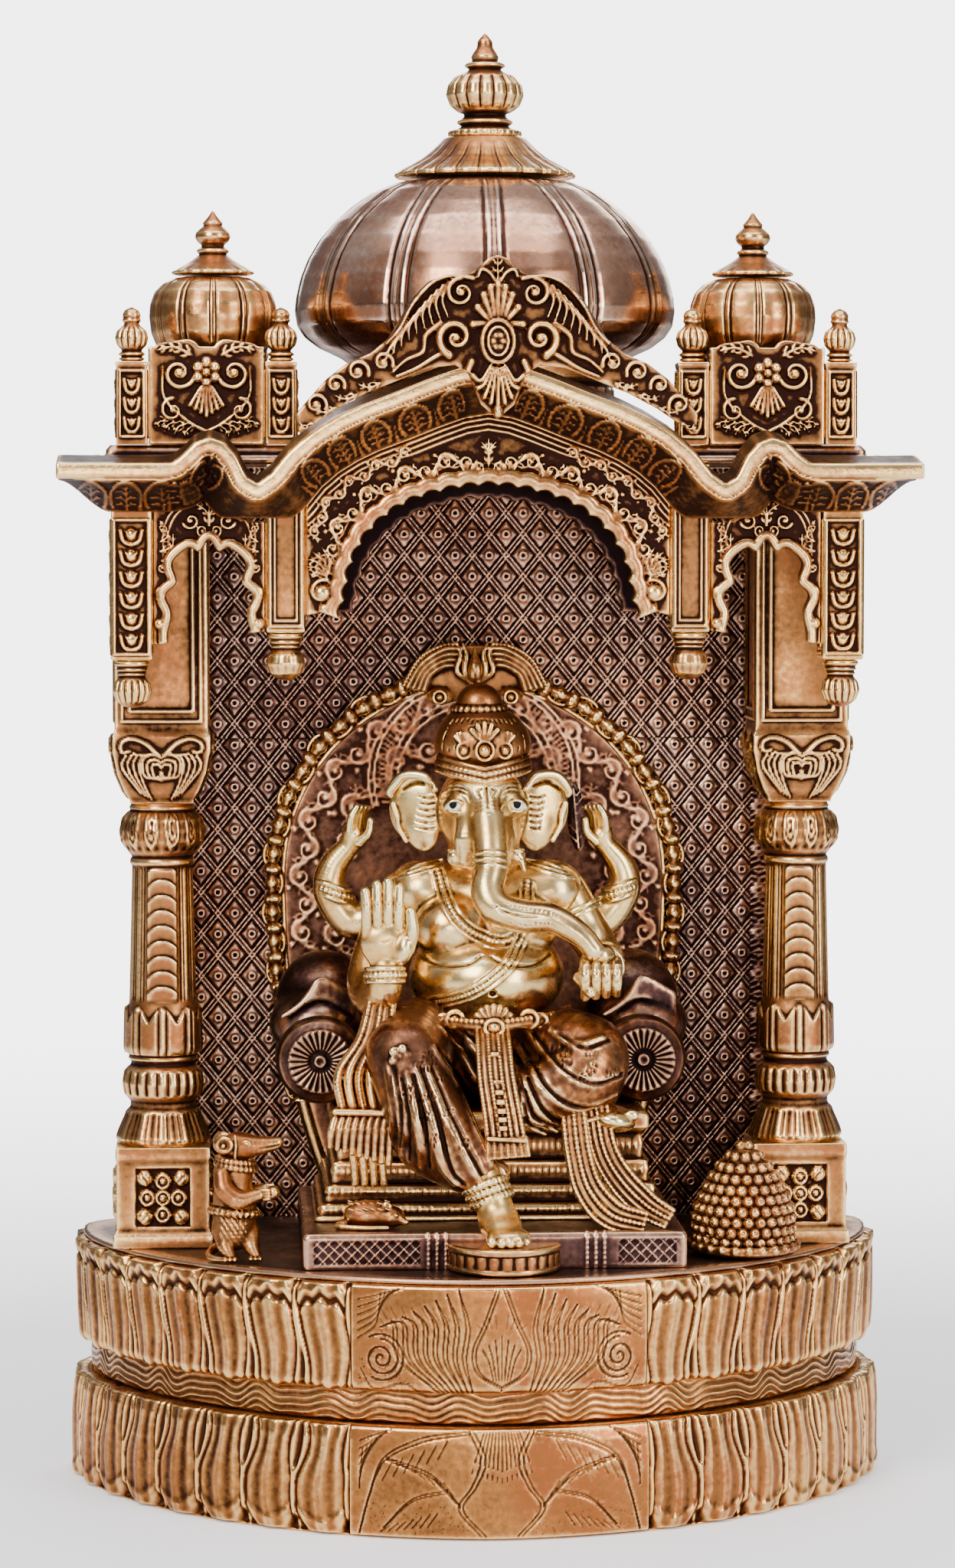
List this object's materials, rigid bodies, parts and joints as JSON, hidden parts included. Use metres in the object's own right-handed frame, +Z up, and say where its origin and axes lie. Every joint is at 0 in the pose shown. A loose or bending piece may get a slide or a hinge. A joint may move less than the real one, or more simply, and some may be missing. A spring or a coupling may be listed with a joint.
{
  "type": "ganesha idol",
  "caption": "Cast brass shrine figure: a four-armed, elephant-headed deity on a throne under a domed canopy on pillars, on an oval lotus-petal base.",
  "frame": {"origin": "centre of the bounding box in plan, at the underside of the base", "axes": "+X to the viewer's right when facing the figure, +Y towards the back, +Z up; the figure faces -Y"},
  "size_m": [0.5346, 0.3125, 0.9357],
  "materials": {
    "aged_brass": "chased and polished on the high points, brown in the recesses",
    "dark_patina": "dark brown patina",
    "tie_steel": "plain",
    "white_enamel": "glossy white with a dark pupil"
  },
  "bodies": {
    "root": {"attendant_mouse": "aged_brass", "back_plate": "dark_patina", "base_deck_plate": "dark_patina", "base_lower_tier": "aged_brass", "base_upper_tier": "aged_brass", "base_waist_band": "dark_patina", "canopy_roof": "dark_patina", "central_arch": "aged_brass", "crest_ornament": "aged_brass", "dome_collar": "aged_brass", "dome_drum": "aged_brass", "dome_finial": "aged_brass", "footstool": "aged_brass", "front_eave": "aged_brass", "front_left_arm": "aged_brass", "front_right_arm": "aged_brass", "halo_crest": "aged_brass", "halo_garland": "aged_brass", "halo_plate": "aged_brass", "idol_body": "aged_brass", "idol_crown": "aged_brass", "idol_head": "aged_brass", "laddu_mound": "aged_brass", "left_bolster": "dark_patina", "left_eye_inlay": "white_enamel", "left_inner_hanging_post": "aged_brass", "left_inner_parapet_post": "aged_brass", "left_outer_hanging_post": "aged_brass", "left_outer_parapet_post": "aged_brass", "left_parapet": "aged_brass", "left_pillar_capital": "aged_brass", "left_pillar_pedestal": "aged_brass", "left_pillar_shaft": "aged_brass", "left_pillar_tie_bolt": "tie_steel", "left_side_arch": "aged_brass", "left_side_eave": "aged_brass", "left_side_wall": "dark_patina", "left_small_dome": "aged_brass", "left_small_dome_finial": "aged_brass", "main_dome": "aged_brass", "rear_left_arm": "aged_brass", "rear_right_arm": "aged_brass", "right_bolster": "dark_patina", "right_eye_inlay": "white_enamel", "right_inner_hanging_post": "aged_brass", "right_inner_parapet_post": "aged_brass", "right_outer_hanging_post": "aged_brass", "right_outer_parapet_post": "aged_brass", "right_parapet": "aged_brass", "right_pillar_capital": "aged_brass", "right_pillar_pedestal": "aged_brass", "right_pillar_shaft": "aged_brass", "right_pillar_tie_bolt": "tie_steel", "right_side_arch": "aged_brass", "right_side_eave": "aged_brass", "right_side_wall": "dark_patina", "right_small_dome": "aged_brass", "right_small_dome_finial": "aged_brass", "throne_plinth": "aged_brass", "throne_seat": "dark_patina"}
  },
  "joints": []
}
